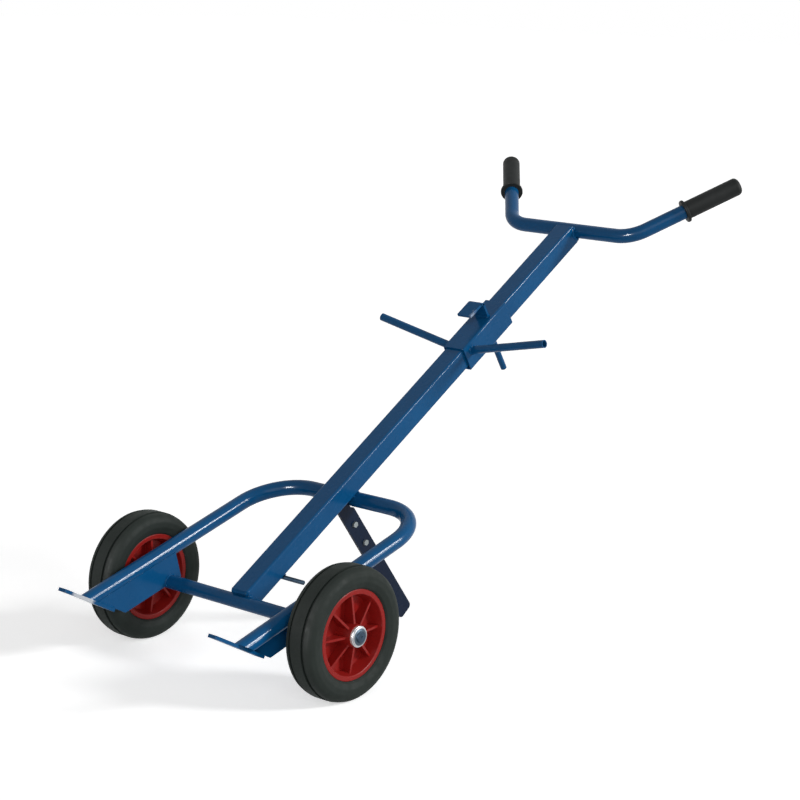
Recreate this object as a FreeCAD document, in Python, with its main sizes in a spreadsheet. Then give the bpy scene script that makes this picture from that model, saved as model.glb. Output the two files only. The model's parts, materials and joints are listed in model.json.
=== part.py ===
import FreeCAD, Part
import math
import os
import re
import Sketcher

# Two-wheeled drum trolley, standing parked on both wheels and its rear leg.
# X runs along the axle, Y from the toes to the handle, Z up from the floor.

V = FreeCAD.Vector
doc = FreeCAD.newDocument("drum_trolley")
sheet = doc.addObject("Spreadsheet::Sheet", "Sizes")

# Named sizes in millimetres and degrees
SIZES = {
    # Fits
    "weld_gap": 0.1,
    "slip_gap": 0.3,
    "run_gap": 0.05,
    # Wheels
    "tyre_height": 37.5,
    "wheel_clearance": 9,
    "tyre_width": 62,
    "tyre_foot_width": 55,
    "tyre_corner_width": 56,
    "tyre_corner_drop": 7.5,
    "tyre_shoulder_width": 46,
    "tyre_shoulder_drop": 3,
    "tyre_shoulder_round": 8,
    "tread_drop": 1,
    "tread_groove_spread": 28,
    "tread_groove_width": 5,
    "tread_groove_depth": 4,
    "wall_low_share": 0.33,
    "wall_high_share": 0.6,
    "rim_diameter": 155,
    "rim_width": 49,
    "rim_lip_width": 4.5,
    "rim_lip_height": 5.5,
    "rim_face_width": 8.5,
    "rim_draft": 6,
    "web_thickness": 6,
    "hub_diameter": 38,
    "hub_length": 60,
    "hub_draft": 3,
    "rib_count": 8,
    "rib_thickness": 4,
    "rib_rim_setback": 8,
    "rib_hub_setback": 5,
    "rib_bury": 1.5,
    "edge_round": 1.5,
    # Axle and what holds the wheels on it
    "axle_diameter": 20,
    "axle_tube_diameter": 25,
    "axle_stand": 3,
    "axle_chamfer": 1.5,
    "centre_mark_diameter": 5,
    "centre_mark_depth": 3,
    "bush_wall": 3,
    "bush_length": 22,
    "bush_flange": 2.5,
    "bush_flange_diameter": 34,
    "washer_diameter": 36,
    "washer_thickness": 2.5,
    "ring_diameter": 33,
    "ring_thickness": 1.5,
    "ring_dish": 1.5,
    # Spine
    "spine_size": 40,
    "spine_wall": 3,
    "spine_corner": 4,
    "spine_angle": 32.35,
    "spine_reach": 1073,
    "cope_depth": 3,
    "spine_cap_thickness": 5,
    "foot_peg_diameter": 8,
    "foot_peg_span": 128,
    "foot_peg_station": 92,
    "foot_peg_chamfer": 1,
    # Handlebar and grips
    "bar_diameter": 28,
    "bar_wall": 2.5,
    "bar_corner_spread": 290,
    "bar_splay_angle": 35,
    "bar_bend_radius": 65,
    "grip_start": 116,
    "grip_length": 121,
    "grip_diameter": 35,
    "grip_end_wall": 6,
    "grip_end_round": 9,
    "grip_flange_diameter": 45,
    "grip_flange_width": 6,
    # U-shaped frame tube
    "hoop_diameter": 28,
    "hoop_wall": 2.5,
    "hoop_spread": 372,
    "hoop_rise": 53.6,
    "hoop_angle": 16.5,
    "hoop_bend_radius": 94,
    # Cheek plates and toes
    "cheek_thickness": 6,
    "cheek_top": 5,
    "cheek_drop": 54,
    "cheek_heel": 25,
    "toe_angle": 27.5,
    "toe_line": 80,
    "toe_width": 20,
    "toe_thickness": 6,
    "toe_length": 124,
    "toe_tip": 231,
    "toe_inset": 6,
    "toe_chamfer": 2,
    # Rear leg and its lug
    "leg_width": 35,
    "leg_thickness": 5,
    "leg_angle": 52.5,
    "leg_reach": 431.4,
    "leg_foot_round": 8,
    "leg_clearance": 2,
    "leg_bolt_height": 198,
    "leg_bolt_pitch": 49,
    "lug_width": 25,
    "lug_thickness": 5,
    "lug_round": 4,
    "lug_bolt_edge": 16,
    # Fasteners
    "bolt_diameter": 6,
    "bolt_head_corners": 11.5,
    "bolt_head_height": 4,
    "nut_height": 5,
    "bolt_stand": 2,
    # Sliding sleeve with hook, arms and peg
    "sleeve_size": 50,
    "sleeve_wall": 3,
    "sleeve_corner": 4,
    "sleeve_length": 143,
    "sleeve_rest": 671,
    "hook_width": 32,
    "hook_thickness": 5,
    "hook_station": 101,
    "hook_height": 35,
    "hook_length": 46,
    "hook_round": 8,
    "arm_diameter": 15,
    "arm_wall": 2,
    "arm_span": 393,
    "arm_angle": 11,
    "arm_rake_angle": 4.6,
    "arm_station": 21,
    "arm_offset": 7,
    "peg_diameter": 12,
    "peg_length": 83,
    "peg_station": 101,
    "peg_chamfer": 1.5,
}


def add_size(alias, number):
    """Write one size into the next free row of the sheet."""
    row = len(sheet.getUsedCells()) // 2 + 1
    sheet.set("A%d" % row, alias)
    sheet.set("B%d" % row, str(number))
    sheet.setAlias("B%d" % row, alias)


for alias, number in SIZES.items():
    add_size(alias, number)
doc.recompute()


def formula(text):
    """Point every named size in a formula at its cell."""
    return re.sub(r"[a-z]+(?:_[a-z]+)+", lambda found: "Sizes." + found.group(), text)


def value(text):
    """The number a formula gives now."""
    return float(sheet.evalExpression(formula(text)))


def bind(item, **formulas):
    """Tie properties of an object to formulas in the named sizes."""
    for prop, text in formulas.items():
        item.setExpression(prop, formula(text))


WHEEL_RADIUS = "(rim_diameter / 2 + tyre_height)"


def frame(degrees, y="0", z=WHEEL_RADIUS):
    """A frame in the middle plane, turned about the axle's direction."""
    return FreeCAD.Placement(V(0, value(y), value(z)), FreeCAD.Rotation(V(1, 0, 0), degrees))


def shift(x="0", y="0", z="0"):
    """A plain move, given as formulas."""
    return FreeCAD.Placement(V(value(x), value(y), value(z)), FreeCAD.Rotation())


def new_body(label, place):
    """An empty body standing in its own frame."""
    body = doc.addObject("PartDesign::Body", label)
    body.Label = label
    body.Placement = place
    return body


def new_sketch(body, plane, offset=FreeCAD.Placement()):
    """A sketch on one of the body's own planes."""
    sketch = body.newObject("Sketcher::SketchObject", body.Name + "_sketch")
    support = [item for item in body.Origin.OriginFeatures if item.Role == plane]
    sketch.AttachmentSupport = (support[0], [""])
    sketch.MapMode = "FlatFace"
    sketch.AttachmentOffset = offset
    return sketch


def add_loop(sketch, corners):
    """Draw a closed outline whose corners are held by pairs of formulas."""
    points = [V(value(across), value(up), 0) for across, up in corners]
    first = sketch.GeometryCount
    count = len(points)
    for index in range(count):
        sketch.addGeometry(Part.LineSegment(points[index], points[(index + 1) % count]))
    for index in range(count):
        line = first + index
        after = first + (index + 1) % count
        sketch.addConstraint(Sketcher.Constraint("Coincident", line, 2, after, 1))
    for index, (across, up) in enumerate(corners):
        line = first + index
        for kind, text, spot in (("DistanceX", across, points[index].x), ("DistanceY", up, points[index].y)):
            number = sketch.addConstraint(Sketcher.Constraint(kind, -1, 1, line, 1, spot))
            sketch.setExpression("Constraints[%d]" % number, formula(text))


def add_circle(sketch, diameter, across="0", up="0"):
    """Draw a circle with its diameter and centre held by formulas."""
    centre = V(value(across), value(up), 0)
    item = sketch.addGeometry(Part.Circle(centre, V(0, 0, 1), value(diameter) / 2))
    number = sketch.addConstraint(Sketcher.Constraint("Diameter", item, value(diameter)))
    sketch.setExpression("Constraints[%d]" % number, formula(diameter))
    for kind, text, spot in (("DistanceX", across, centre.x), ("DistanceY", up, centre.y)):
        number = sketch.addConstraint(Sketcher.Constraint(kind, -1, 1, item, 3, spot))
        sketch.setExpression("Constraints[%d]" % number, formula(text))


def pad(body, sketch, length, middle=False):
    """Extrude a sketch, one way or evenly to both sides."""
    feature = body.newObject("PartDesign::Pad", body.Name + "_pad")
    feature.Profile = sketch
    feature.SideType = "Symmetric" if middle else "One side"
    bind(feature, Length=length)
    doc.recompute()
    return feature


def turn(label, place, corners):
    """A turned piece: an outline of axial and radial formulas spun about the frame's X."""
    body = new_body(label, place)
    sketch = new_sketch(body, "XY_Plane")
    add_loop(sketch, corners)
    feature = body.newObject("PartDesign::Revolution", body.Name + "_turn")
    feature.Profile = sketch
    feature.ReferenceAxis = (sketch, ["H_Axis"])
    feature.Angle = 360
    doc.recompute()
    return body


def trim(body, kind, place, **sizes):
    """Take a box or a cylinder, placed in the whole trolley's frame, out of a body."""
    feature = body.newObject("PartDesign::Subtractive" + kind, body.Name + "_trim")
    feature.Placement = body.Placement.inverse().multiply(place)
    bind(feature, **sizes)
    doc.recompute()
    return feature


def dress(body, kind, size, wanted):
    """Round or chamfer the edges that a test picks out."""
    base = body.Tip
    names = ["Edge%d" % number for number, edge in enumerate(base.Shape.Edges, 1) if wanted(edge)]
    feature = body.newObject("PartDesign::" + kind, body.Name + "_" + kind.lower())
    feature.Base = (base, names)
    bind(feature, **{"Radius" if kind == "Fillet" else "Size": size})
    doc.recompute()
    return feature


def corner_edges(axis, spots):
    """A test for straight edges along one axis that pass through given spots."""
    others = [index for index in range(3) if index != axis]

    def wanted(edge):
        low, high = edge.Vertexes[0].Point, edge.Vertexes[-1].Point
        if any(abs(low[index] - high[index]) > value("weld_gap") for index in others):
            return False
        return any(
            all(abs(low[index] - spot[place]) < value("weld_gap") for place, index in enumerate(others))
            for spot in spots)

    return wanted


def rim_edges(spots):
    """A test for round edges about X at given axial and radial places."""
    def wanted(edge):
        if not isinstance(edge.Curve, Part.Circle):
            return False
        return any(
            abs(edge.Curve.Center.x - along) + abs(edge.Curve.Radius - radius) < value("weld_gap")
            for along, radius in spots)

    return wanted


def bent_tube(label, place, corners, bend_radius, diameter, wall):
    """A round tube swept along a path in the frame's XY plane with its corners bent."""
    body = new_body(label, place)
    path = new_sketch(body, "XY_Plane")
    points = [V(value(across), value(up), 0) for across, up in corners]
    radius = value(bend_radius)
    begin = points[0]
    for before, corner, after in zip(points, points[1:], points[2:]):
        into = (corner - before).normalize()
        out = (after - corner).normalize()
        turned = into.getAngle(out)
        setback = radius * math.tan(turned / 2)
        inward = (out - into).normalize()
        middle = corner + inward * (radius / math.cos(turned / 2) - radius)
        entry = corner - into * setback
        leave = corner + out * setback
        path.addGeometry(Part.LineSegment(begin, entry))
        arc = path.addGeometry(Part.Arc(entry, middle, leave))
        number = path.addConstraint(Sketcher.Constraint("Radius", arc, radius))
        path.setExpression("Constraints[%d]" % number, formula(bend_radius))
        begin = leave
    path.addGeometry(Part.LineSegment(begin, points[-1]))
    heading = points[1] - points[0]
    slew = FreeCAD.Rotation(V(0, 1, 0), math.degrees(math.atan2(-heading.x, heading.y)))
    ring = new_sketch(body, "XZ_Plane", FreeCAD.Placement(V(points[0].x, 0, -points[0].y), slew))
    add_circle(ring, diameter)
    add_circle(ring, diameter + " - 2 * " + wall)
    feature = body.newObject("PartDesign::AdditivePipe", label + "_pipe")
    feature.Profile = ring
    feature.Spine = (path, ["Edge%d" % (number + 1) for number in range(path.GeometryCount)])
    doc.recompute()
    return body


def square_tube(label, place, side, wall, corner, length, middle):
    """A square tube along the frame's Z with rounded corners."""
    body = new_body(label, place)
    section = new_sketch(body, "XY_Plane")
    spots = []
    for half in (side + " / 2", "(" + side + " / 2 - " + wall + ")"):
        low, high = middle + " - " + half, middle + " + " + half
        add_loop(section, [("-" + half, low), (half, low), (half, high), ("-" + half, high)])
        spots.append([(flip * value(half), value(end)) for flip in (-1, 1) for end in (low, high)])
    pad(body, section, length)
    dress(body, "Fillet", corner, corner_edges(2, spots[0]))
    dress(body, "Fillet", corner + " - " + wall, corner_edges(2, spots[1]))
    return body


def group(label, pieces):
    """Several alike pieces kept as separate solids under one name."""
    bundle = doc.addObject("Part::Compound", label)
    bundle.Label = label
    bundle.Links = pieces
    return bundle


SIDES = {"left": -1, "right": 1}
axle_frame = frame(0)
spine_frame = frame(value("spine_angle") - 90)
bar_frame = frame(value("spine_angle"))
hoop_frame = frame(value("hoop_angle"), z=WHEEL_RADIUS + " + hoop_rise")
toe_frame = frame(180 - value("toe_angle"))
foot_height = "(leg_width / 2 - leg_foot_round) * cos(leg_angle) + leg_foot_round * (1 - sin(leg_angle))"
leg_frame = frame(180 - value("leg_angle"), "leg_reach", foot_height)
sleeve_frame = spine_frame.multiply(shift(z="sleeve_rest"))
across = FreeCAD.Placement(V(0, 0, 0), FreeCAD.Rotation(V(0, 1, 0), 90))
nodes = []

# Axle bar, chamfered and centre-marked at both ends
WHEEL_X = "((hoop_spread + hoop_diameter + tyre_width) / 2 + wheel_clearance)"
HUB_END = "(hub_length / 2 + bush_flange + slip_gap)"
AXLE_HALF = "(%s + %s + washer_thickness + ring_dish + ring_thickness + axle_stand)" % (WHEEL_X, HUB_END)
axle_end = [
    (AXLE_HALF + " - centre_mark_depth", "0"),
    (AXLE_HALF, "centre_mark_diameter / 2"),
    (AXLE_HALF, "axle_diameter / 2 - axle_chamfer"),
    (AXLE_HALF + " - axle_chamfer", "axle_diameter / 2"),
]
axle = turn("axle", axle_frame, axle_end + [("-(%s)" % x, y) for x, y in reversed(axle_end)])
nodes.append(axle)

# Axle tube, the round cross member between the wheels
TUBE_HALF = "(%s - %s - washer_thickness)" % (WHEEL_X, HUB_END)
axle_tube = turn("axle_tube", axle_frame, [
    ("-" + TUBE_HALF, "axle_diameter / 2 + slip_gap"),
    (TUBE_HALF, "axle_diameter / 2 + slip_gap"),
    (TUBE_HALF, "axle_tube_diameter / 2"),
    ("-" + TUBE_HALF, "axle_tube_diameter / 2"),
])
nodes.append(axle_tube)

# Wheels, each with its own X pointing outward
BED = "(rim_diameter / 2 - rim_lip_height)"
BORE = "(axle_diameter / 2 + run_gap + bush_wall)"
LIP_IN = "(rim_width / 2 - rim_lip_width)"
centre_half = [
    (LIP_IN, BED),
    (LIP_IN, "rim_diameter / 2"),
    ("rim_width / 2", "rim_diameter / 2"),
    ("rim_width / 2", "rim_diameter / 2 - rim_face_width"),
    ("web_thickness / 2", "rim_diameter / 2 - rim_face_width - rim_draft"),
    ("web_thickness / 2", "hub_diameter / 2 + hub_draft"),
    ("hub_length / 2", "hub_diameter / 2"),
    ("hub_length / 2", BORE + " + run_gap"),
]
tyre_bends = [
    ("tyre_width / 2", "rim_diameter / 2 + wall_low_share * tyre_height"),
    ("tyre_width / 2", "rim_diameter / 2 + wall_high_share * tyre_height"),
    ("tyre_corner_width / 2", WHEEL_RADIUS + " - tyre_corner_drop"),
    ("tyre_shoulder_width / 2", WHEEL_RADIUS + " - tyre_shoulder_drop"),
]
GROOVE_OUT = "(tread_groove_spread + tread_groove_width) / 2"
GROOVE_IN = "(tread_groove_spread - tread_groove_width) / 2"
tyre_half = [
    (LIP_IN + " - weld_gap", BED + " + weld_gap"),
    (LIP_IN + " - weld_gap", "rim_diameter / 2 + weld_gap"),
    ("rim_width / 2", "rim_diameter / 2 + weld_gap"),
    ("tyre_foot_width / 2", "rim_diameter / 2 + (tyre_foot_width - rim_width) / 2"),
] + tyre_bends + [
    (GROOVE_OUT, WHEEL_RADIUS + " - tread_drop"),
    (GROOVE_OUT, WHEEL_RADIUS + " - tread_groove_depth"),
    (GROOVE_IN, WHEEL_RADIUS + " - tread_groove_depth"),
    (GROOVE_IN, WHEEL_RADIUS),
]
bush_turns = [
    ("hub_length / 2 - bush_length", "axle_diameter / 2 + run_gap"),
    ("hub_length / 2 + bush_flange", "axle_diameter / 2 + run_gap"),
    ("hub_length / 2 + bush_flange", "bush_flange_diameter / 2"),
    ("hub_length / 2", "bush_flange_diameter / 2"),
    ("hub_length / 2", BORE),
    ("hub_length / 2 - bush_length", BORE),
]
rib_corners = [
    ("-(rim_width / 2 - rib_rim_setback)", BED + " - rib_bury"),
    ("-(hub_length / 2 - rib_hub_setback)", "hub_diameter / 2 - rib_bury"),
    ("hub_length / 2 - rib_hub_setback", "hub_diameter / 2 - rib_bury"),
    ("rim_width / 2 - rib_rim_setback", BED + " - rib_bury"),
]
about_face = FreeCAD.Placement(V(0, 0, 0), FreeCAD.Rotation(V(0, 0, 1), 180))
washers = []
rings = []
for side, sign in SIDES.items():
    place = axle_frame.multiply(shift(x="%d * %s" % (sign, WHEEL_X)))
    if sign < 0:
        place = place.multiply(about_face)
    tyre = turn("tyre_" + side, place, tyre_half + [("-(%s)" % x, y) for x, y in reversed(tyre_half)])
    bends = [(flip * value(along), value(radius)) for flip in (-1, 1) for along, radius in tyre_bends]
    dress(tyre, "Fillet", "tyre_shoulder_round", rim_edges(bends))
    centre = turn(
        "wheel_centre_" + side, place, centre_half + [("-(%s)" % x, y) for x, y in reversed(centre_half)])
    rib_sketch = new_sketch(centre, "XY_Plane")
    add_loop(rib_sketch, rib_corners)
    rib = pad(centre, rib_sketch, "rib_thickness", middle=True)
    ribs = centre.newObject("PartDesign::PolarPattern", "ribs_" + side)
    ribs.Originals = [rib]
    ribs.Axis = (rib_sketch, ["H_Axis"])
    ribs.Angle = 360
    bind(ribs, Occurrences="rib_count")
    centre.Tip = ribs
    doc.recompute()
    lips = [
        (flip * value("rim_width / 2"), value(radius)) for flip in (-1, 1)
        for radius in ("rim_diameter / 2", "rim_diameter / 2 - rim_face_width")]
    dress(centre, "Fillet", "edge_round", rim_edges(lips))
    bushes = [
        turn("bush_%s_outer" % side, place, bush_turns),
        turn("bush_%s_inner" % side, place.multiply(about_face), bush_turns),
    ]
    nodes += [tyre, centre, group("bushes_" + side, bushes)]
    for name, turned in (("outer", place), ("inner", place.multiply(about_face))):
        washers.append(turn("washer_%s_%s" % (side, name), turned, [
            (HUB_END, "axle_diameter / 2 + slip_gap"),
            (HUB_END + " + washer_thickness", "axle_diameter / 2 + slip_gap"),
            (HUB_END + " + washer_thickness", "washer_diameter / 2"),
            (HUB_END, "washer_diameter / 2"),
        ]))
    rings.append(turn("ring_" + side, place, [
        (HUB_END + " + washer_thickness + ring_dish", "axle_diameter / 2 + run_gap"),
        (HUB_END + " + washer_thickness + ring_dish + ring_thickness", "axle_diameter / 2 + run_gap"),
        (HUB_END + " + washer_thickness + ring_thickness", "ring_diameter / 2"),
        (HUB_END + " + washer_thickness", "ring_diameter / 2"),
    ]))
nodes += [group("axle_washers", washers), group("retaining_rings", rings)]

# Spine, coped onto the handlebar, with a cap that closes its lower end onto the axle tube
CAP_LOW = "(axle_tube_diameter / 2 - cope_depth)"
SPINE_LOW = "(%s + spine_cap_thickness + weld_gap)" % CAP_LOW
spine = square_tube(
    "spine", spine_frame.multiply(shift(z=SPINE_LOW)), "spine_size", "spine_wall", "spine_corner",
    "spine_reach - bar_diameter / 2 + cope_depth - " + SPINE_LOW, "0")
spine_cap = new_body("spine_cap", spine_frame.multiply(shift(z=CAP_LOW)))
plate = new_sketch(spine_cap, "XY_Plane")
cap_corners = ((-1, -1), (1, -1), (1, 1), (-1, 1))
add_loop(plate, [("%d * spine_size / 2" % way, "%d * spine_size / 2" % up) for way, up in cap_corners])
pad(spine_cap, plate, "spine_cap_thickness")
dress(spine_cap, "Fillet", "spine_corner", corner_edges(2, [
    (way * value("spine_size / 2"), up * value("spine_size / 2")) for way, up in cap_corners]))
for body, tube, station in ((spine_cap, "axle_tube_diameter", "0"), (spine, "bar_diameter", "spine_reach")):
    cutter = spine_frame.multiply(shift(z=station)).multiply(across).multiply(shift(z="-spine_size"))
    trim(body, "Cylinder", cutter, Radius=tube + " / 2 + weld_gap", Height="2 * spine_size")
nodes += [spine, spine_cap]

# Round peg across the underside of the spine
PEG_DROP = "spine_size / 2 + foot_peg_diameter / 2 + weld_gap"
foot_peg_end = [
    ("foot_peg_span / 2", "0"),
    ("foot_peg_span / 2", "foot_peg_diameter / 2 - foot_peg_chamfer"),
    ("foot_peg_span / 2 - foot_peg_chamfer", "foot_peg_diameter / 2"),
]
nodes.append(turn(
    "foot_peg", spine_frame.multiply(shift(y=PEG_DROP, z="foot_peg_station")),
    foot_peg_end + [("-(%s)" % x, y) for x, y in reversed(foot_peg_end)]))

# Handlebar with two splayed arms, and a grip on each
ARM_TIP = "(grip_start + grip_length - grip_end_wall - slip_gap)"
TIP_X = "(bar_corner_spread / 2 + %s * sin(bar_splay_angle))" % ARM_TIP
TIP_Y = "spine_reach + %s * cos(bar_splay_angle)" % ARM_TIP
handlebar = bent_tube("handlebar", bar_frame, [
    ("-" + TIP_X, TIP_Y),
    ("-bar_corner_spread / 2", "spine_reach"),
    ("bar_corner_spread / 2", "spine_reach"),
    (TIP_X, TIP_Y),
], "bar_bend_radius", "bar_diameter", "bar_wall")
nodes.append(handlebar)
GRIP_END = "(grip_start + grip_length)"
GRIP_BORE = "bar_diameter / 2 + weld_gap"
for side, sign in SIDES.items():
    lean = 90 - sign * value("bar_splay_angle")
    place = bar_frame.multiply(shift("%d * bar_corner_spread / 2" % sign, "spine_reach"))
    place = place.multiply(FreeCAD.Placement(V(0, 0, 0), FreeCAD.Rotation(V(0, 0, 1), lean)))
    grip = turn("grip_" + side, place, [
        ("grip_start", GRIP_BORE),
        ("grip_start", "grip_flange_diameter / 2"),
        ("grip_start + grip_flange_width", "grip_flange_diameter / 2"),
        ("grip_start + grip_flange_width", "grip_diameter / 2"),
        (GRIP_END, "grip_diameter / 2"),
        (GRIP_END, "0"),
        (GRIP_END + " - grip_end_wall", "0"),
        (GRIP_END + " - grip_end_wall", GRIP_BORE),
    ])
    dress(grip, "Fillet", "grip_end_round", rim_edges([(value(GRIP_END), value("grip_diameter / 2"))]))
    flange_radius = value("grip_flange_diameter / 2")
    dress(grip, "Fillet", "edge_round", rim_edges([
        (value("grip_start"), flange_radius),
        (value("grip_start + grip_flange_width"), flange_radius)]))
    nodes.append(grip)

# U-shaped tube: two side legs and a bent back that lies under the spine
BACK = "((hoop_rise * cos(spine_angle) + (spine_size + hoop_diameter) / 2 + weld_gap)" \
    " / sin(spine_angle - hoop_angle))"
FRONT = "(toe_tip + toe_line)"
hoop = bent_tube("u_frame", hoop_frame, [
    ("-hoop_spread / 2", "-" + FRONT),
    ("-hoop_spread / 2", BACK),
    ("hoop_spread / 2", BACK),
    ("hoop_spread / 2", "-" + FRONT),
], "hoop_bend_radius", "hoop_diameter", "hoop_wall")
front_block = toe_frame.multiply(shift("-hoop_spread", "-toe_tip", "toe_line"))
front_sizes = {"Length": "2 * hoop_spread", "Width": "3 * toe_tip", "Height": "2 * toe_tip"}
trim(hoop, "Box", front_block, **front_sizes)
nodes.append(hoop)

# Cheek plates between the U-tube and the axle tube, and a toe on each front edge
AXLE_U = "(-hoop_rise * sin(hoop_angle))"
CHEEK_FACE = "(hoop_spread - hoop_diameter) / 2"
for side, sign in SIDES.items():
    inner = CHEEK_FACE if sign > 0 else "-%s - cheek_thickness" % CHEEK_FACE
    cheek = new_body("cheek_" + side, hoop_frame.multiply(shift(x=inner)))
    plate = new_sketch(cheek, "YZ_Plane")
    add_loop(plate, [
        ("-" + FRONT, "-cheek_top"),
        ("-" + FRONT, "-cheek_drop"),
        (AXLE_U + " + cheek_heel", "-cheek_drop"),
        (AXLE_U + " + cheek_heel", "-cheek_top"),
    ])
    pad(cheek, plate, "cheek_thickness")
    trim(cheek, "Box", front_block, **front_sizes)
    along = FreeCAD.Placement(V(0, 0, 0), FreeCAD.Rotation(V(1, 0, 0), 90))
    leg_line = hoop_frame.multiply(shift("%d * hoop_spread / 2" % sign, FRONT)).multiply(along)
    trim(cheek, "Cylinder", leg_line, Radius="hoop_diameter / 2 + weld_gap", Height="2 * " + FRONT)
    axle_line = axle_frame.multiply(across).multiply(shift(z="-hoop_spread"))
    trim(cheek, "Cylinder", axle_line, Radius="axle_tube_diameter / 2 + weld_gap", Height="2 * hoop_spread")
    toe_middle = "%d * (hoop_spread / 2 - toe_inset)" % sign
    toe = new_body("toe_" + side, toe_frame.multiply(shift(toe_middle, "toe_tip - toe_length", "toe_line")))
    bar = new_sketch(toe, "XY_Plane")
    add_loop(bar, [
        ("-toe_width / 2", "0"),
        ("toe_width / 2", "0"),
        ("toe_width / 2", "toe_length"),
        ("-toe_width / 2", "toe_length"),
    ])
    pad(toe, bar, "toe_thickness")
    dress(toe, "Chamfer", "toe_chamfer", corner_edges(2, [
        (flip * value("toe_width / 2"), value("toe_length")) for flip in (-1, 1)]))
    nodes += [cheek, toe]

# Rear leg bolted to a narrower lug under the spine, both shaped to clear the spine and the U-tube's back
leg_holes = ["leg_bolt_height", "leg_bolt_height + leg_bolt_pitch"]
HOLE = "bolt_diameter + 2 * slip_gap"
back_line = hoop_frame.multiply(shift("-leg_width", BACK)).multiply(across)
LUG_LOW = "(leg_bolt_height - lug_bolt_edge)"
flat_bars = (
    ("rear_leg", "lug_thickness / 2", "leg_thickness", "leg_width", "0", "leg_foot_round", "leg_clearance"),
    ("leg_lug", "-lug_thickness / 2", "lug_thickness", "lug_width", LUG_LOW, "lug_round", "weld_gap"),
)
for name, inner, thickness, width, low, corner, gap in flat_bars:
    plate = new_body(name, leg_frame.multiply(shift(x=inner)))
    bar = new_sketch(plate, "YZ_Plane")
    add_loop(bar, [
        (low, "-%s / 2" % width), ("2 * leg_reach", "-%s / 2" % width),
        ("2 * leg_reach", "%s / 2" % width), (low, "%s / 2" % width)])
    for station in leg_holes:
        add_circle(bar, HOLE, station)
    pad(plate, bar, thickness)
    dress(plate, "Fillet", corner, corner_edges(0, [
        (value(low), flip * value(width) / 2) for flip in (-1, 1)]))
    spine_block = spine_frame.multiply(shift("-leg_width", "spine_size / 2 + %s - 2 * leg_reach" % gap))
    trim(plate, "Box", spine_block, Length="2 * leg_width", Width="2 * leg_reach", Height="spine_reach")
    trim(plate, "Cylinder", back_line, Radius="hoop_diameter / 2 + " + gap, Height="2 * leg_width")
    nodes.append(plate)


def hex_piece(height, place):
    """A hexagonal prism along the frame's Z."""
    piece = doc.addObject("Part::Prism", "hex")
    piece.Polygon = 6
    piece.Placement = place
    bind(piece, Circumradius="bolt_head_corners / 2", Height=height)
    return piece


def round_piece(diameter, height, place):
    """A plain cylinder along the frame's Z."""
    piece = doc.addObject("Part::Cylinder", "shank")
    piece.Placement = place
    bind(piece, Radius=diameter + " / 2", Height=height)
    return piece


# Bolts through leg and lug, each with a nut on the far side
bolts = []
nuts = []
for station in leg_holes:
    hole = leg_frame.multiply(shift(y=station))
    outer = hole.multiply(shift("lug_thickness / 2 + leg_thickness")).multiply(across)
    tail = hole.multiply(shift("-lug_thickness / 2 - nut_height - bolt_stand")).multiply(across)
    bolt = doc.addObject("Part::Fuse", "bolt")
    bolt.Base = hex_piece("bolt_head_height", outer)
    bolt.Tool = round_piece("bolt_diameter", "leg_thickness + lug_thickness + nut_height + bolt_stand", tail)
    bolts.append(bolt)
    nut_place = hole.multiply(shift("-lug_thickness / 2 - nut_height")).multiply(across)
    nut = doc.addObject("Part::Cut", "nut")
    nut.Base = hex_piece("nut_height", nut_place)
    nut.Tool = round_piece("(bolt_diameter + 2 * run_gap)", "nut_height", nut_place)
    nuts.append(nut)
nodes += [group("leg_bolts", bolts), group("lock_nuts", nuts)]

# Sleeve that slides along the spine, its front wall against the spine's front face
SLEEVE_MIDDLE = "((sleeve_size - spine_size) / 2 - sleeve_wall - slip_gap)"
SLEEVE_FRONT = "(%s - sleeve_size / 2)" % SLEEVE_MIDDLE
sleeve = square_tube(
    "sleeve", sleeve_frame, "sleeve_size", "sleeve_wall", "sleeve_corner", "sleeve_length", SLEEVE_MIDDLE)
nodes.append(sleeve)

# Hook of bent flat bar that drops over a rim
HOOK_OUT = "(%s - hook_height)" % SLEEVE_FRONT
rim_hook = new_body("rim_hook", sleeve_frame)
bend = new_sketch(rim_hook, "YZ_Plane")
add_loop(bend, [
    (SLEEVE_FRONT, "hook_station"),
    (HOOK_OUT, "hook_station"),
    (HOOK_OUT, "hook_station - hook_length"),
    (HOOK_OUT + " + hook_thickness", "hook_station - hook_length"),
    (HOOK_OUT + " + hook_thickness", "hook_station - hook_thickness"),
    (SLEEVE_FRONT, "hook_station - hook_thickness"),
])
pad(rim_hook, bend, "hook_width", middle=True)
dress(rim_hook, "Fillet", "hook_round", corner_edges(0, [(value(HOOK_OUT), value("hook_station"))]))
dress(rim_hook, "Fillet", "hook_round - hook_thickness", corner_edges(0, [
    (value(HOOK_OUT + " + hook_thickness"), value("hook_station - hook_thickness"))]))
nodes.append(rim_hook)

# Two open tube arms that lie against the load, trimmed to the sleeve's side faces
ARM_ROOT = SLEEVE_MIDDLE + " - arm_offset"
for side, sign in SIDES.items():
    root = sleeve_frame.multiply(shift("%d * sleeve_size / 2" % sign, ARM_ROOT, "arm_station"))
    heading = V(sign, -value("tan(arm_angle)"), value("tan(arm_rake_angle)"))
    lean = FreeCAD.Rotation(V(0, 0, 1), heading)
    arm = new_body("sleeve_arm_" + side, root.multiply(FreeCAD.Placement(V(0, 0, 0), lean)))
    section = new_sketch(arm, "XY_Plane", shift(z="-arm_diameter"))
    add_circle(section, "arm_diameter")
    add_circle(section, "arm_diameter - 2 * arm_wall")
    slant = "sqrt(1 + tan(arm_angle)^2 + tan(arm_rake_angle)^2)"
    pad(arm, section, "arm_diameter + (arm_span - sleeve_size) / 2 * " + slant)
    inboard = root.multiply(shift("%d * arm_diameter" % -(1 + sign), "-arm_diameter", "-arm_diameter"))
    trim(arm, "Box", inboard, Length="2 * arm_diameter", Width="2 * arm_diameter", Height="2 * arm_diameter")
    nodes.append(arm)

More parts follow.
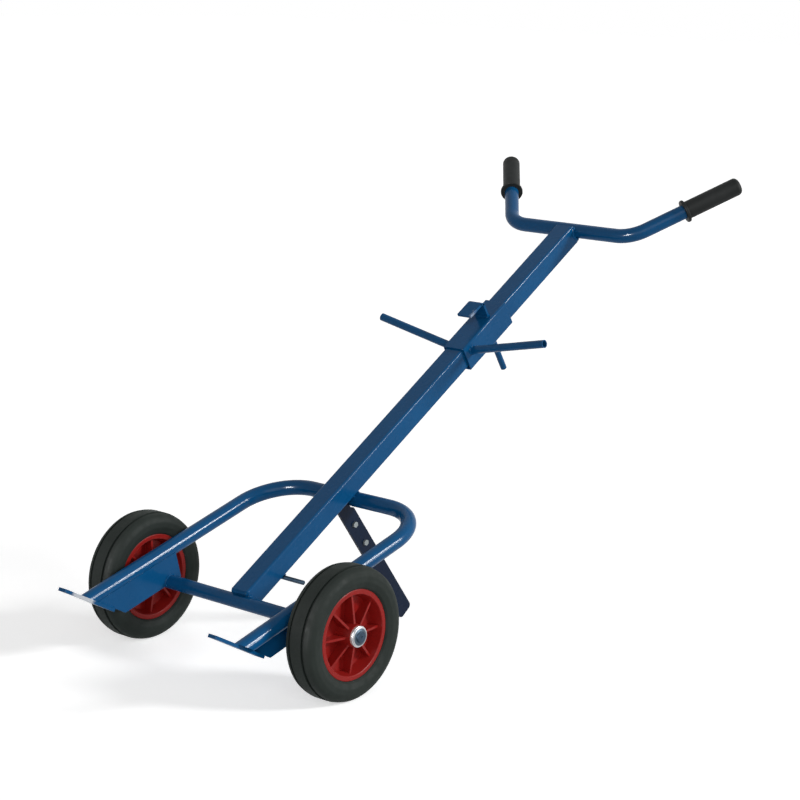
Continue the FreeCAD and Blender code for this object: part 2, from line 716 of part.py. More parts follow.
# Peg by which the sleeve is lifted
peg_place = sleeve_frame.multiply(shift(y=SLEEVE_MIDDLE + " + sleeve_size / 2", z="peg_station"))
peg_turn = FreeCAD.Placement(V(0, 0, 0), FreeCAD.Rotation(V(0, 0, 1), 90))
nodes.append(turn("pull_peg", peg_place.multiply(peg_turn), [
    ("0", "0"),
    ("0", "peg_diameter / 2"),
    ("peg_length - peg_chamfer", "peg_diameter / 2"),
    ("peg_length", "peg_diameter / 2 - peg_chamfer"),
    ("peg_length", "0"),
]))

# The origin moves along the floor to stand under the middle of the whole trolley
doc.recompute()
span = FreeCAD.BoundBox()
for node in nodes:
    span.add(node.Shape.optimalBoundingBox(False))
for node in nodes:
    node.Placement = FreeCAD.Placement(V(0, -span.Center.y, 0), FreeCAD.Rotation()).multiply(node.Placement)
doc.recompute()
for item in doc.Objects:
    if "Invalid" in item.State or "Error" in item.State:
        raise RuntimeError("%s did not build" % item.Name)
os.makedirs("parts", exist_ok=True)
for node in nodes:
    if node.Shape.isNull() or not node.Shape.isValid():
        raise RuntimeError("%s has no sound shape" % node.Label)
    node.Shape.exportStep("parts/%s.step" % node.Label)
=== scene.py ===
import json
import math
import bpy
from mathutils import Matrix, Vector


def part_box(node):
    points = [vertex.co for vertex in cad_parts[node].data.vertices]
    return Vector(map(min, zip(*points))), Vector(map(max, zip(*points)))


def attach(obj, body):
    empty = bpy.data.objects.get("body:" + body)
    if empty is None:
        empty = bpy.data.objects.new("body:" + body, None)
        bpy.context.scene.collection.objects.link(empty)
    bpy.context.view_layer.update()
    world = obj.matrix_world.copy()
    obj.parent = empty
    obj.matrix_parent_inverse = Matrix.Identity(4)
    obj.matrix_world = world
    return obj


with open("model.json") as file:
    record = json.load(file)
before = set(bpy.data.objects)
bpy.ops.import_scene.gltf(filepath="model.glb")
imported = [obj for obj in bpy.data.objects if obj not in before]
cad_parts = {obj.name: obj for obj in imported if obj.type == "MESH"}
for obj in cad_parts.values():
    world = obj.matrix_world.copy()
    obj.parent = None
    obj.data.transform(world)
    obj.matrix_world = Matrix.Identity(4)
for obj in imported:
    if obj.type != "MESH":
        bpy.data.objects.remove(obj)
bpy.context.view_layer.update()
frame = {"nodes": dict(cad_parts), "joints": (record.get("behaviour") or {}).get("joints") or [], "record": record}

nodes = frame["nodes"]
scene = bpy.context.scene

# Lengths on the part are in millimetres; the floor, the lamps and the camera are placed in metres
MM = 0.001
ACROSS = Vector((1, 0, 0))

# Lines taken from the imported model: the axle's middle, the spine's direction and its upper side
axle_low, axle_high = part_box("axle")
AXLE = (axle_low + axle_high) / 2
slide = [joint for joint in frame["joints"] if joint["type"] == "slide"][0]
ALONG = Vector(slide["axis"]).normalized()
UP = ACROSS.cross(ALONG)


def reach(node, direction):
    """The lowest and the highest station of a node along a direction, from the axle's middle."""
    steps = [(vertex.co - AXLE).dot(direction) / MM for vertex in nodes[node].data.vertices]
    return min(steps), max(steps)


SPINE_HALF = reach("spine", UP)[1]
SPINE_END = reach("spine_cap", ALONG)[0]
TUBE_RADIUS = reach("axle_tube", UP)[1]
BAR_RADIUS = reach("handlebar", UP)[1]
BAR_STATION = reach("handlebar", ALONG)[0] + BAR_RADIUS
SLEEVE_BACK, SLEEVE_FRONT = reach("sleeve", UP)
SLEEVE_SIDE = reach("sleeve", ACROSS)[1]
HOOK_HALF = reach("rim_hook", ACROSS)[1]
HOOK_TOP = reach("rim_hook", ALONG)[1]
HOOK_TIP = reach("rim_hook", -ALONG)[1]
HOOK_THICK = 5
LUG_HALF = reach("leg_lug", ACROSS)[1]
FOOT_PEG_LOW, FOOT_PEG_HIGH = reach("foot_peg", ALONG)
PULL_PEG_LOW, PULL_PEG_HIGH = reach("pull_peg", ALONG)
CHEEK_IN, CHEEK_OUT = reach("cheek_right", ACROSS)

# The U-shaped tube's plane passes above the axle and slopes up to the back
HOOP_ANGLE = math.radians(16.5)
HOOP_RISE = 53.6
HOOP_RADIUS = 14
HOOP_BEND = 94
HOOP_ALONG = Vector((0, math.cos(HOOP_ANGLE), math.sin(HOOP_ANGLE)))
HOOP_UP = ACROSS.cross(HOOP_ALONG)
HOOP_MIDDLE = reach("u_frame", ACROSS)[1] - HOOP_RADIUS
HOOP_BACK = reach("u_frame", HOOP_ALONG)[1] - HOOP_RISE * math.sin(HOOP_ANGLE) - HOOP_RADIUS

# The toes' line runs forward and up, below the axle
TOE_ANGLE = math.radians(27.5)
TOE_ALONG = Vector((0, -math.cos(TOE_ANGLE), math.sin(TOE_ANGLE)))
TOE_DOWN = ACROSS.cross(TOE_ALONG)
TOE_LINE = reach("toe_right", TOE_DOWN)[0]
TOE_START, TOE_TIP = reach("toe_right", TOE_ALONG)


def on_spine(x, s, n):
    """A point across, along and above the spine's middle line."""
    return AXLE + (ACROSS * x + ALONG * s + UP * n) * MM


def on_hoop(x, u, v):
    """A point in the U-shaped tube's frame: across, along and above its plane."""
    return AXLE + (ACROSS * x + Vector((0, 0, HOOP_RISE)) + HOOP_ALONG * u + HOOP_UP * v) * MM


def on_toe(x, t, m):
    """A point in the toes' frame: across, along the toe and below the axle."""
    return AXLE + (ACROSS * x + TOE_ALONG * t + TOE_DOWN * m) * MM


# Tools for materials
# The colour sockets of a mix node share their names with others, so they go by number
MIX_FIRST = 6
MIX_SECOND = 7
MIX_RESULT = 2


def new_material(name):
    """A new material with its node tree and its principled shader."""
    material = bpy.data.materials.new(name)
    material.use_nodes = True
    tree = material.node_tree
    shader = tree.nodes["Principled BSDF"]
    return material, tree, shader


def add_node(tree, kind, **values):
    """A node with some of its inputs and settings given."""
    node = tree.nodes.new(kind)
    for key, value in values.items():
        if key in node.inputs:
            node.inputs[key].default_value = value
        else:
            setattr(node, key, value)
    return node


def noise(tree, scale, detail, roughness=0.55):
    """Noise in the object's own coordinates, so that it stays put as the piece moves."""
    place = add_node(tree, "ShaderNodeTexCoord")
    field = add_node(tree, "ShaderNodeTexNoise", Scale=scale, Detail=detail, Roughness=roughness)
    tree.links.new(place.outputs["Object"], field.inputs["Vector"])
    return field.outputs["Fac"]


def grey(value):
    """A grey as a colour."""
    return (value, value, value, 1)


def clouded(tree, cloud, low, high):
    """A colour that noise takes from low to high; a cloud is the noise's scale, detail and used span."""
    scale, detail, span = cloud
    ramp = add_node(tree, "ShaderNodeValToRGB")
    for element, place, colour in zip(ramp.color_ramp.elements, span, (low, high)):
        element.position = place
        element.color = colour
    tree.links.new(noise(tree, scale, detail), ramp.inputs["Fac"])
    return ramp.outputs["Color"]


def bump(tree, shader, height, strength, depth):
    """Relief on the shader from one height."""
    node = add_node(tree, "ShaderNodeBump", Strength=strength, Distance=depth * MM)
    tree.links.new(height, node.inputs["Height"])
    tree.links.new(node.outputs["Normal"], shader.inputs["Normal"])


def mixed(tree, mask, first, second):
    """A colour that goes from the first, a socket, to the second as the mask goes from 0 to 1."""
    node = add_node(tree, "ShaderNodeMix", data_type="RGBA")
    tree.links.new(mask, node.inputs["Factor"])
    tree.links.new(first, node.inputs[MIX_FIRST])
    node.inputs[MIX_SECOND].default_value = second
    return node.outputs[MIX_RESULT]


def combined(tree, operation, first, second):
    """One value worked out from two."""
    node = add_node(tree, "ShaderNodeMath", operation=operation)
    tree.links.new(first, node.inputs[0])
    tree.links.new(second, node.inputs[1])
    return node.outputs["Value"]


def from_axle(tree):
    """The way from the axle's middle to the shaded point."""
    place = add_node(tree, "ShaderNodeTexCoord")
    way = add_node(tree, "ShaderNodeVectorMath", operation="SUBTRACT")
    way.inputs[1].default_value = AXLE
    tree.links.new(place.outputs["Object"], way.inputs[0])
    return way.outputs["Vector"]


def passing(tree, value, start, end):
    """A mask that goes from 0 to 1 as a length goes from start to end."""
    mask = add_node(tree, "ShaderNodeMapRange", clamp=True)
    tree.links.new(value, mask.inputs["Value"])
    mask.inputs["From Min"].default_value = start * MM
    mask.inputs["From Max"].default_value = end * MM
    return mask.outputs["Result"]


# Enamel
ENAMEL_MOTTLE = (9.0, 3.0, (0.35, 0.68))
ENAMEL_DUST = (55.0, 5.0, (0.3, 0.75))
ENAMEL_LEVEL = 0.04
COAT_ROUGHNESS = 0.13
PEEL_SCALE = 420.0
PEEL_DETAIL = 2.0
PEEL_STRENGTH = 0.015
PEEL_DEPTH = 0.1
BARE_STEEL = (0.42, 0.44, 0.47, 1)
BARE_ROUGHNESS = 0.42


def paint(name, light, dark, roughness, worn=None, coat=0.14):
    """Enamel with faint mottling, dust and orange peel, rubbed to bare steel where a mask says so."""
    material, tree, shader = new_material(name)
    colour = clouded(tree, ENAMEL_MOTTLE, dark, light)
    low, high = roughness
    rough = clouded(tree, ENAMEL_DUST, grey(low), grey(high))
    if worn:
        mask = worn(tree)
        colour = mixed(tree, mask, colour, BARE_STEEL)
        rough = mixed(tree, mask, rough, grey(BARE_ROUGHNESS))
        tree.links.new(mask, shader.inputs["Metallic"])
    tree.links.new(colour, shader.inputs["Base Color"])
    tree.links.new(rough, shader.inputs["Roughness"])
    shader.inputs["Specular IOR Level"].default_value = ENAMEL_LEVEL
    shader.inputs["Coat Weight"].default_value = coat
    shader.inputs["Coat Roughness"].default_value = COAT_ROUGHNESS
    bump(tree, shader, noise(tree, PEEL_SCALE, PEEL_DETAIL), PEEL_STRENGTH, PEEL_DEPTH)
    return material


# Moulded plastic and rubber
MOULD_MOTTLE = (16.0, 4.0, (0.3, 0.7))
MOULD_BLOOM = (70.0, 4.0, (0.3, 0.7))
GRAIN_DETAIL = 3.0
GRAIN_DEPTH = 0.6


def moulded(name, light, dark, roughness, grain, relief, level=0.5):
    """Moulded plastic or rubber with a fine grain."""
    material, tree, shader = new_material(name)
    tree.links.new(clouded(tree, MOULD_MOTTLE, dark, light), shader.inputs["Base Color"])
    low, high = roughness
    tree.links.new(clouded(tree, MOULD_BLOOM, grey(low), grey(high)), shader.inputs["Roughness"])
    shader.inputs["Specular IOR Level"].default_value = level
    bump(tree, shader, noise(tree, grain, GRAIN_DETAIL), relief, GRAIN_DEPTH)
    return material


# Plated steel
PLATE_CLOUD = (60.0, 4.0, (0.3, 0.7))
PLATE_STAIN = (140.0, 4.0, (0.3, 0.75))
# Dark colour near the axle: oil, and painted shade in the dish of the retaining rings
OIL_AND_SHADE = (0.06, 0.085, 0.11, 1)
OIL_AND_SHADE_EDGE = 0.5


def near_axle(tree, radius):
    """A mask that is 1 within a distance of the axle's line and 0 outside it."""
    flat = add_node(tree, "ShaderNodeVectorMath", operation="MULTIPLY")
    flat.inputs[1].default_value = (0, 1, 1)
    tree.links.new(from_axle(tree), flat.inputs[0])
    distance = add_node(tree, "ShaderNodeVectorMath", operation="LENGTH")
    tree.links.new(flat.outputs["Vector"], distance.inputs[0])
    return passing(tree, distance.outputs["Value"], radius + OIL_AND_SHADE_EDGE, radius - OIL_AND_SHADE_EDGE)


def plated(name, light, dark, roughness, oil_and_shade_radius=0):
    """Cloudy plated steel, darkened within a distance of the axle's line if one is given, with oil and painted
    shade.
    """
    material, tree, shader = new_material(name)
    colour = clouded(tree, PLATE_CLOUD, dark, light)
    if oil_and_shade_radius:
        colour = mixed(tree, near_axle(tree, oil_and_shade_radius), colour, OIL_AND_SHADE)
    tree.links.new(colour, shader.inputs["Base Color"])
    low, high = roughness
    tree.links.new(clouded(tree, PLATE_STAIN, grey(low), grey(high)), shader.inputs["Roughness"])
    shader.inputs["Metallic"].default_value = 1.0
    return material


# Wear: the noise that breaks up its edge, and how wide that noise spreads the edge
WEAR_SCALE = 190.0
WEAR_DETAIL = 6.0
WEAR_ROUGHNESS = 0.7
WEAR_SPREAD_SHARE = 1.6
# The hook's wear starts before its tip and beside its middle, and would be full past the tip and the side
HOOK_WEAR_LENGTH = 20
HOOK_WEAR_PAST = 6
HOOK_WEAR_SIDE = 10
HOOK_WEAR_SIDE_PAST = 8
# The toe's wear starts, is full, starts to end and ends at these distances before its tip
TOE_WEAR_START = 74
TOE_WEAR_FULL = 66
TOE_WEAR_EASE = 22
TOE_WEAR_END = 14


def fade(tree, direction, start, end):
    """A mask that goes from 0 to 1 between two stations along a direction, broken up by noise."""
    station = add_node(tree, "ShaderNodeVectorMath", operation="DOT_PRODUCT")
    station.inputs[1].default_value = direction
    tree.links.new(from_axle(tree), station.inputs[0])
    spread = (end - start) * WEAR_SPREAD_SHARE
    broken = add_node(tree, "ShaderNodeMath", operation="MULTIPLY_ADD")
    tree.links.new(noise(tree, WEAR_SCALE, WEAR_DETAIL, WEAR_ROUGHNESS), broken.inputs[0])
    broken.inputs[1].default_value = spread * MM
    tree.links.new(station.outputs["Value"], broken.inputs[2])
    return passing(tree, broken.outputs["Value"], start + spread / 2, end + spread / 2)


def hook_wear(tree):
    """A mask for the wear on the right-hand corner of the hook's tip."""
    lengthwise = fade(tree, -ALONG, HOOK_TIP - HOOK_WEAR_LENGTH, HOOK_TIP + HOOK_WEAR_PAST)
    sideways = fade(tree, ACROSS, HOOK_WEAR_SIDE, HOOK_HALF + HOOK_WEAR_SIDE_PAST)
    return combined(tree, "MINIMUM", lengthwise, sideways)


def toe_wear(tree):
    """A mask for the wear over a short length before the toe's tip."""
    start = fade(tree, TOE_ALONG, TOE_TIP - TOE_WEAR_START, TOE_TIP - TOE_WEAR_FULL)
    end = fade(tree, -TOE_ALONG, TOE_WEAR_END - TOE_TIP, TOE_WEAR_EASE - TOE_TIP)
    return combined(tree, "MINIMUM", start, end)


# Materials of the pieces
BLUE_LIGHT = (0.003, 0.082, 0.222, 1)
BLUE_DARK = (0.003, 0.072, 0.198, 1)
SATIN = (0.22, 0.34)
BLUE = paint("blue_enamel", BLUE_LIGHT, BLUE_DARK, SATIN)
# Over the welds and on the hook the paint is duller
WELD_BLUE = paint("blue_enamel_weld", BLUE_LIGHT, BLUE_DARK, SATIN, coat=0.02)
HOOK_BLUE = paint("blue_enamel_hook", BLUE_LIGHT, BLUE_DARK, SATIN, worn=hook_wear, coat=0.05)
TOE_BLUE = paint("blue_enamel_toe", BLUE_LIGHT, BLUE_DARK, SATIN, worn=toe_wear)
# The rear leg and its lug take a darker copy of the blue enamel: painted shade
LEG_SHADED_BLUE = paint(
    "blue_enamel_painted_shade", light=(0.004, 0.014, 0.038, 1), dark=(0.003, 0.010, 0.030, 1), roughness=SATIN)
RED = moulded(
    "red_moulding", light=(0.29, 0.012, 0.010, 1), dark=(0.25, 0.010, 0.008, 1),
    roughness=(0.28, 0.40), grain=300.0, relief=0.05, level=0.12)
TYRE = moulded(
    "tyre_rubber", light=(0.019, 0.0255, 0.0225, 1), dark=(0.0125, 0.0175, 0.015, 1),
    roughness=(0.55, 0.75), grain=700.0, relief=0.25, level=0.1)
GRIP = moulded(
    "grip_rubber", light=(0.016, 0.018, 0.018, 1), dark=(0.010, 0.012, 0.012, 1),
    roughness=(0.45, 0.62), grain=900.0, relief=0.3, level=0.1)
NYLON = moulded(
    "nylon", light=(0.72, 0.71, 0.66, 1), dark=(0.64, 0.63, 0.58, 1),
    roughness=(0.4, 0.5), grain=300.0, relief=0.05)
ZINC = plated(
    "zinc_plate", light=(0.60, 0.61, 0.63, 1), dark=(0.42, 0.43, 0.45, 1), roughness=(0.28, 0.46))
DULL = plated(
    "dull_steel", light=(0.036, 0.058, 0.085, 1), dark=(0.022, 0.036, 0.054, 1), roughness=(0.42, 0.6))
# The retaining rings are darkened near the axle: oil, and painted shade in their dished middle
RING = plated(
    "ring_plate", light=(0.46, 0.47, 0.48, 1), dark=(0.34, 0.35, 0.36, 1), roughness=(0.3, 0.45), oil_and_shade_radius=14.6)
BOLT = plated(
    "bolt_steel", light=(0.22, 0.24, 0.24, 1), dark=(0.14, 0.155, 0.16, 1), roughness=(0.45, 0.6))
SLOT_MATERIALS = {
    "blue_paint": BLUE, "red_plastic": RED, "tyre_rubber": TYRE, "grip_rubber": GRIP, "zinc_steel": ZINC,
    "nylon": NYLON}
NODE_MATERIALS = {
    "rim_hook": HOOK_BLUE, "toe_left": TOE_BLUE, "rear_leg": LEG_SHADED_BLUE, "leg_lug": LEG_SHADED_BLUE,
    "leg_bolts": BOLT, "lock_nuts": BOLT, "axle": DULL, "foot_peg": DULL, "retaining_rings": RING}
for part in frame["record"]["subparts"]:
    mesh = nodes[part["node"]].data
    for index in range(len(mesh.materials)):
        mesh.materials[index] = NODE_MATERIALS.get(part["node"], SLOT_MATERIALS[part["material_slot"]])

# The U-shaped tube's normals are set square to its middle line, so that a shine runs straight along it.
# Only corners on the outside are changed, where the normal already points nearly the same way
SURFACE_BAND = 0.1
SAME_WAY = 0.97


def hoop_middle(point):
    """The nearest point on the U-shaped tube's middle line."""
    step = point - on_hoop(0, 0, 0)
    x, u = step.dot(ACROSS) / MM, step.dot(HOOP_ALONG) / MM
    side = math.copysign(1, x)
    corner_x, corner_u = side * (HOOP_MIDDLE - HOOP_BEND), HOOP_BACK - HOOP_BEND
    if u < corner_u:
        return on_hoop(side * HOOP_MIDDLE, u, 0)
    if abs(x) < abs(corner_x):
        return on_hoop(x, HOOP_BACK, 0)
    arm = Vector((x - corner_x, u - corner_u)).normalized() * HOOP_BEND
    return on_hoop(corner_x + arm.x, corner_u + arm.y, 0)


hoop_mesh = nodes["u_frame"].data
normals = [corner.vector.copy() for corner in hoop_mesh.corner_normals]
for index, loop in enumerate(hoop_mesh.loops):
    point = hoop_mesh.vertices[loop.vertex_index].co
    out = point - hoop_middle(point)
    on_surface = abs(out.length / MM - HOOP_RADIUS) < SURFACE_BAND
    if on_surface and out.normalized().dot(normals[index]) > SAME_WAY:
        normals[index] = out.normalized()
hoop_mesh.normals_split_custom_set(normals)

# Plate edges are broken a little, so that they catch the light
JOIN_DISTANCE = 0.01
EDGE_BREAK = 0.5
EDGE_SEGMENTS = 2
EDGE_ANGLE = math.radians(40)
PLATES = (
    "cheek_left", "cheek_right", "toe_left", "toe_right", "rear_leg", "leg_lug", "rim_hook", "sleeve",
    "spine_cap", "leg_bolts", "lock_nuts", "axle_washers")
for name in PLATES:
    weld = nodes[name].modifiers.new("joined", "WELD")
    weld.merge_threshold = JOIN_DISTANCE * MM
    bevel = nodes[name].modifiers.new("broken_edges", "BEVEL")
    bevel.width = EDGE_BREAK * MM
    bevel.segments = EDGE_SEGMENTS
    bevel.limit_method = "ANGLE"
    bevel.angle_limit = EDGE_ANGLE
    bevel.harden_normals = True

# Weld beads: each has a girth that ripples along it and tapers at its open ends
BEAD_STEP = 1.1
BEAD_SIDES = 10
RIPPLE = 3.4
RIPPLE_LOW_SHARE = 0.86
RIPPLE_RISE_SHARE = 0.2
TAPER_END_SHARE = 0.45
TAPER_STEP_SHARE = 0.3
ARC_STEPS = 16
RING_STEPS = 24
RING_END = 345


def resample(points, closed):
    """Points set evenly along a broken line."""
    line = points + points[:1] if closed else points
    spots = []
    carry = 0.0
    for begin, end in zip(line, line[1:]):
        length = (end - begin).length / MM
        place = carry
        while place < length:
            spots.append(begin.lerp(end, place / length))
            place += BEAD_STEP
        carry = place - length
    return spots if closed else spots + [line[-1]]


def bead(name, body, points, radius, closed=False):
    """A rippled weld bead along a line of points, riding on a body."""
    spots = resample(points, closed)
    count = len(spots)
    vertices = []
    for index, spot in enumerate(spots):
        before = spots[index - 1] if closed or index else spots[0]
        after = spots[(index + 1) % count] if closed or index < count - 1 else spots[-1]
        heading = (after - before).normalized()
        side = heading.orthogonal() if not vertices else side - heading * side.dot(heading)
        side.normalize()
        lift = heading.cross(side)
        wave = (index * BEAD_STEP / RIPPLE) % 1.0
        girth = radius * (RIPPLE_LOW_SHARE + RIPPLE_RISE_SHARE * math.sqrt(wave))
        if not closed:
            steps_to_end = min(index, count - 1 - index)
            girth *= min(1.0, TAPER_END_SHARE + TAPER_STEP_SHARE * steps_to_end)
        for step in range(BEAD_SIDES):
            turn = 2 * math.pi * step / BEAD_SIDES
            vertices.append(spot + (side * math.cos(turn) + lift * math.sin(turn)) * girth * MM)
    faces = []
    for index in range(count if closed else count - 1):
        for step in range(BEAD_SIDES):
            here, there = index * BEAD_SIDES, (index + 1) % count * BEAD_SIDES
            after = (step + 1) % BEAD_SIDES
            faces.append((here + step, here + after, there + after, there + step))
    if not closed:
        faces.append(tuple(reversed(range(BEAD_SIDES))))
        faces.append(tuple(range((count - 1) * BEAD_SIDES, count * BEAD_SIDES)))
    mesh = bpy.data.meshes.new(name)
    mesh.from_pydata(vertices, [], faces)
    mesh.polygons.foreach_set("use_smooth", [True] * len(faces))
    mesh.materials.append(WELD_BLUE)
    piece = bpy.data.objects.new(name, mesh)
    scene.collection.objects.link(piece)
    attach(piece, body)


def arc(make, centre, radius, start, end, count=ARC_STEPS):
    """Points round part of a circle; make turns the two coordinates of each into a point."""
    turns = [math.radians(start + (end - start) * step / count) for step in range(count + 1)]
    return [make(centre[0] + radius * math.cos(turn), centre[1] + radius * math.sin(turn)) for turn in turns]


def ring(make, centre, radius):
    """Points round a whole circle, for a closed bead."""
    return arc(make, centre, radius, 0, RING_END, RING_STEPS)


def crossing(half, station, height):
    """The ends of a straight line across the spine."""
    return [on_spine(-half, station, height), on_spine(half, station, height)]


# A gap is how far a bead's line stands off what it joins, and the inset how far it stops short of an edge
FACE_GAP = 0.4
SEAM_GAP = 0.6
UNDER_GAP = 1
EDGE_INSET = 1
HALF_TURN = 180

# Spine to axle tube: down the right side, across underneath, up the left side and back over the top
FOOT_ANGLE = 46
FOOT_GAP = 0.8
FOOT_BEAD = 3.2
FOOT_RADIUS = TUBE_RADIUS + FOOT_GAP
foot_loop = arc(lambda s, n: on_spine(SPINE_HALF, s, n), (0, 0), FOOT_RADIUS, FOOT_ANGLE, -FOOT_ANGLE)
foot_loop += arc(lambda s, n: on_spine(-SPINE_HALF, s, n), (0, 0), FOOT_RADIUS, -FOOT_ANGLE, FOOT_ANGLE)
bead("weld_spine_foot", "frame", foot_loop, FOOT_BEAD, True)

# Fillets that fill the corner between the spine's end and the axle tube, above and below
END_GAP = 0.5
END_HEIGHT = 15.5
END_BEAD = 4
for name, flip in (("upper", 1), ("lower", -1)):
    end_line = crossing(SPINE_HALF - EDGE_INSET, SPINE_END - END_GAP, flip * END_HEIGHT)
    bead("weld_spine_end_" + name, "frame", end_line, END_BEAD)

# Spine to handlebar, down the right side and up the left one
HEAD_ANGLE = 58
HEAD_GAP = 2.2
HEAD_BEAD = 3.4
HEAD_RADIUS = BAR_RADIUS + HEAD_GAP
HEAD_HALF = SPINE_HALF - EDGE_INSET
BAR_CENTRE = (BAR_STATION, 0)
head_start, head_end = HALF_TURN - HEAD_ANGLE, HALF_TURN + HEAD_ANGLE
head_loop = arc(lambda s, n: on_spine(HEAD_HALF, s, n), BAR_CENTRE, HEAD_RADIUS, head_start, head_end)
head_loop += arc(lambda s, n: on_spine(-HEAD_HALF, s, n), BAR_CENTRE, HEAD_RADIUS, head_end, head_start)
bead("weld_spine_head", "frame", head_loop, HEAD_BEAD, True)

# Spine to the back of the U-shaped tube, in front of it and behind it
BACK_OFFSET = 6.5
BACK_BEAD = 2.4
BACK_STATION = (on_hoop(0, HOOP_BACK, 0) - AXLE).dot(ALONG) / MM
for name, flip in (("front", -1), ("rear", 1)):
    back_line = crossing(SPINE_HALF, BACK_STATION + flip * BACK_OFFSET, -SPINE_HALF - UNDER_GAP)
    bead("weld_back_" + name, "frame", back_line, BACK_BEAD)

# Foot peg under the spine
FOOT_PEG_BEAD = 1.8
for name, station in (("front", FOOT_PEG_LOW), ("rear", FOOT_PEG_HIGH)):
    peg_line = crossing(SPINE_HALF - EDGE_INSET, station, -SPINE_HALF - UNDER_GAP)
    bead("weld_peg_" + name, "frame", peg_line, FOOT_PEG_BEAD)

# Lug under the spine, from one distance in front of the U-shaped tube's back to another
LUG_WELD_START = 40
LUG_WELD_END = 18
LUG_BEAD = 1.6
for name, flip in (("left", -1), ("right", 1)):
    bead("weld_lug_" + name, "frame", [
        on_spine(flip * (LUG_HALF + SEAM_GAP), BACK_STATION - distance, -SPINE_HALF - SEAM_GAP)
        for distance in (LUG_WELD_START, LUG_WELD_END)], LUG_BEAD)

# Cheek plates to the U-shaped tube, to the axle tube and to the toes
CHEEK_FRONT = -170
CHEEK_HEEL = 9
CHEEK_GAP = 0.2
CHEEK_DROP = 12.2
CHEEK_BEAD = 1.3
AXLE_CENTRE = (-HOOP_RISE * math.sin(HOOP_ANGLE), -HOOP_RISE * math.cos(HOOP_ANGLE))
AXLE_GAP = 0.5
AXLE_BEAD = 1.9
AXLE_WELD_RADIUS = TUBE_RADIUS + AXLE_GAP
TOE_WELD_INSET = 1
TOE_WELD_REACH = 40
TOE_BEAD = 1.7
for side, sign in (("left", -1), ("right", 1)):
    bead("weld_cheek_outer_" + side, "frame", [
        on_hoop(sign * (CHEEK_OUT + CHEEK_GAP), u, -CHEEK_DROP)
        for u in (CHEEK_FRONT, CHEEK_HEEL)], CHEEK_BEAD)
    for name, x in (("inner", CHEEK_IN - FACE_GAP), ("outer", CHEEK_OUT + FACE_GAP)):
        bead("weld_axle_%s_%s" % (name, side), "frame", arc(
            lambda u, v: on_hoop(sign * x, u, v), AXLE_CENTRE, AXLE_WELD_RADIUS, 0, HALF_TURN), AXLE_BEAD)
        bead("weld_toe_%s_%s" % (name, side), "frame", [
            on_toe(sign * x, TOE_START + step, TOE_LINE - SEAM_GAP)
            for step in (TOE_WELD_INSET, TOE_WELD_REACH)], TOE_BEAD)

# Arms, hook and pull peg on the sleeve
ROOT_BAND = 1
ARM_WELD_RADIUS = 7.9
ARM_BEAD = 1.7
HOOK_GAP = 0.5
HOOK_BEAD = 1.9
PEG_WELD_RADIUS = 6.4
PEG_BEAD = 1.7
for side, sign in (("left", -1), ("right", 1)):
    arm_points = [vertex.co for vertex in nodes["sleeve_arm_" + side].data.vertices]
    root = [point for point in arm_points if abs(abs(point.x) / MM - SLEEVE_SIDE) < ROOT_BAND]
    middle = sum(root, Vector()) / len(root) - AXLE
    arm_centre = (middle.dot(ALONG) / MM, middle.dot(UP) / MM)
    bead("weld_arm_" + side, "sleeve_body", ring(
        lambda s, n: on_spine(sign * (SLEEVE_SIDE + FACE_GAP), s, n), arm_centre, ARM_WELD_RADIUS),
        ARM_BEAD, True)
for name, station in (("upper", HOOK_TOP + HOOK_GAP), ("lower", HOOK_TOP - HOOK_THICK - HOOK_GAP)):
    bead("weld_hook_" + name, "sleeve_body", crossing(HOOK_HALF, station, SLEEVE_FRONT + SEAM_GAP), HOOK_BEAD)
peg_centre = (0, (PULL_PEG_LOW + PULL_PEG_HIGH) / 2)
bead("weld_peg_root", "sleeve_body", ring(
    lambda x, s: on_spine(x, s, SLEEVE_BACK - FACE_GAP), peg_centre, PEG_WELD_RADIUS), PEG_BEAD, True)

# Floor and surroundings: white where they are seen directly, and dimmer as a source of light
WHITE = (1, 1, 1, 1)
AMBIENT = 0.2
FLOOR_SIZE = 60
FLOOR_GREY = 0.86
FLOOR_ROUGHNESS = 0.9
FLOOR_GLOW = 0.58


def seen_directly(tree):
    """A mask that is 1 for rays from the camera and for what shows in metal or glass."""
    path = add_node(tree, "ShaderNodeLightPath")
    mask = path.outputs["Is Camera Ray"]
    for kind in ("Is Glossy Ray", "Is Transmission Ray"):
        mask = combined(tree, "MAXIMUM", mask, path.outputs[kind])
    return mask


bpy.ops.mesh.primitive_plane_add(size=FLOOR_SIZE, location=(0, 0, 0))
floor = bpy.context.object
floor.name = "floor"
floor_material, tree, shader = new_material("floor_white")
shader.inputs["Base Color"].default_value = grey(FLOOR_GREY)
shader.inputs["Roughness"].default_value = FLOOR_ROUGHNESS
shader.inputs["Specular IOR Level"].default_value = 0.0
shader.inputs["Emission Color"].default_value = WHITE
glow = add_node(tree, "ShaderNodeMath", operation="MULTIPLY")
tree.links.new(seen_directly(tree), glow.inputs[0])
glow.inputs[1].default_value = FLOOR_GLOW
tree.links.new(glow.outputs["Value"], shader.inputs["Emission Strength"])
floor.data.materials.append(floor_material)

world = bpy.data.worlds.new("studio")
scene.world = world
world.use_nodes = True
tree = world.node_tree
dim = tree.nodes["Background"]
dim.inputs["Color"].default_value = WHITE
dim.inputs["Strength"].default_value = AMBIENT
bright = add_node(tree, "ShaderNodeBackground", Color=WHITE, Strength=1.0)
choose = add_node(tree, "ShaderNodeMixShader")
tree.links.new(seen_directly(tree), choose.inputs["Fac"])
tree.links.new(dim.outputs["Background"], choose.inputs[1])
tree.links.new(bright.outputs["Background"], choose.inputs[2])
tree.links.new(choose.outputs["Shader"], tree.nodes["World Output"].inputs["Surface"])


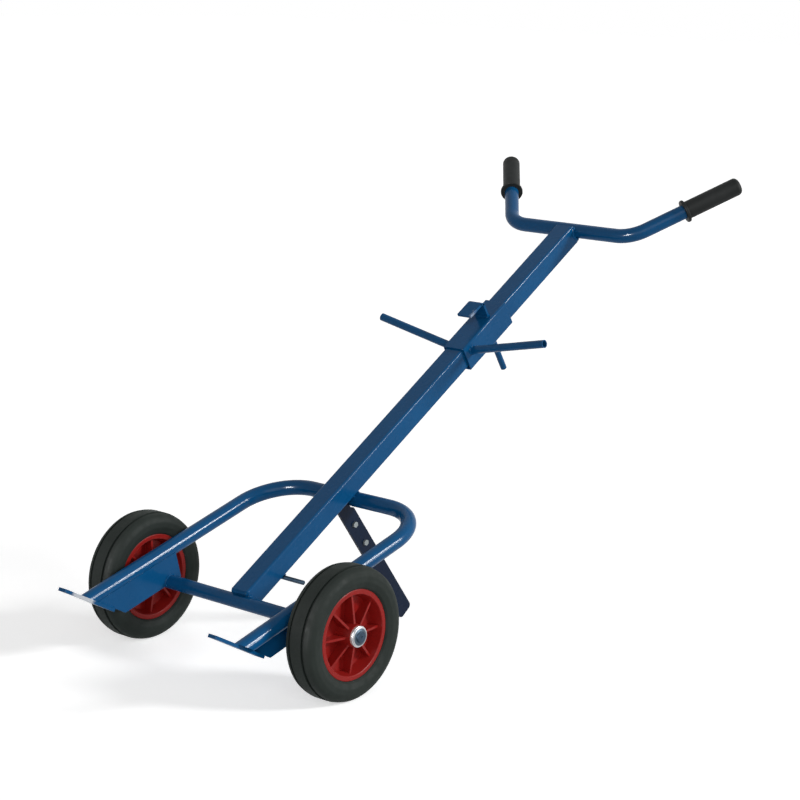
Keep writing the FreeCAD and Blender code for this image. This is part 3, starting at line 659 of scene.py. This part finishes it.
def distant(name, direction, level, spread):
    """A soft light of one direction; at level 1 it renders a colour that faces it as written."""
    data = bpy.data.lights.new(name, "SUN")
    data.energy = level * math.pi
    data.angle = math.radians(spread)
    lamp = bpy.data.objects.new(name, data)
    scene.collection.objects.link(lamp)
    lamp.rotation_euler = Vector(direction).to_track_quat("Z", "Y").to_euler()


def gleam(name, place, target, size, power):
    """A card of light that shows only as a shine in gloss and metal."""
    data = bpy.data.lights.new(name, "AREA")
    data.shape = "RECTANGLE"
    data.size, data.size_y = size
    data.energy = power
    lamp = bpy.data.objects.new(name, data)
    scene.collection.objects.link(lamp)
    lamp.location = place
    lamp.rotation_euler = (Vector(target) - Vector(place)).to_track_quat("-Z", "Y").to_euler()
    lamp.visible_camera = False
    lamp.visible_diffuse = False


distant("key", direction=(0.75, 0.47, 0.465), level=0.6, spread=12)
distant("fill", direction=(0.7, -0.62, 0.35), level=0.28, spread=40)
# A tall card shines along the tubes, and a wide one glints on the U-shaped tube's left bend
gleam("card", place=(6.58, 3.72, 2.95), target=(0, 0, 0.35), size=(1.1, 4.0), power=680)
gleam("glint", place=(0.70, -5.88, 1.87), target=(-0.135, -0.164, 0.251), size=(1.8, 0.8), power=1040)

# The camera is known in a frame that leans against the floor, turned about the axle
LEAN = Matrix.Rotation(math.radians(2.5), 3, "X")
HEADING = math.radians(40.655)
PITCH = math.radians(13.257)
CAMERA_OFFSET = Vector((2.551717, -2.515335, 1.194345))
CAMERA_LENS = 98.384
SENSOR_WIDTH = 36
SHIFT_X = -0.0167
SHIFT_Y = 0.00183
camera_data = bpy.data.cameras.new("camera")
camera = bpy.data.objects.new("camera", camera_data)
scene.collection.objects.link(camera)
camera_data.lens = CAMERA_LENS
camera_data.sensor_width = SENSOR_WIDTH
camera_data.shift_x = SHIFT_X
camera_data.shift_y = SHIFT_Y
flat_share = math.cos(PITCH)
look = Vector((-math.sin(HEADING) * flat_share, math.cos(HEADING) * flat_share, -math.sin(PITCH)))
camera.location = AXLE + LEAN @ CAMERA_OFFSET
camera.rotation_euler = (LEAN @ look.to_track_quat("-Z", "Y").to_matrix()).to_euler()
scene.camera = camera
scene.view_settings.view_transform = "Standard"
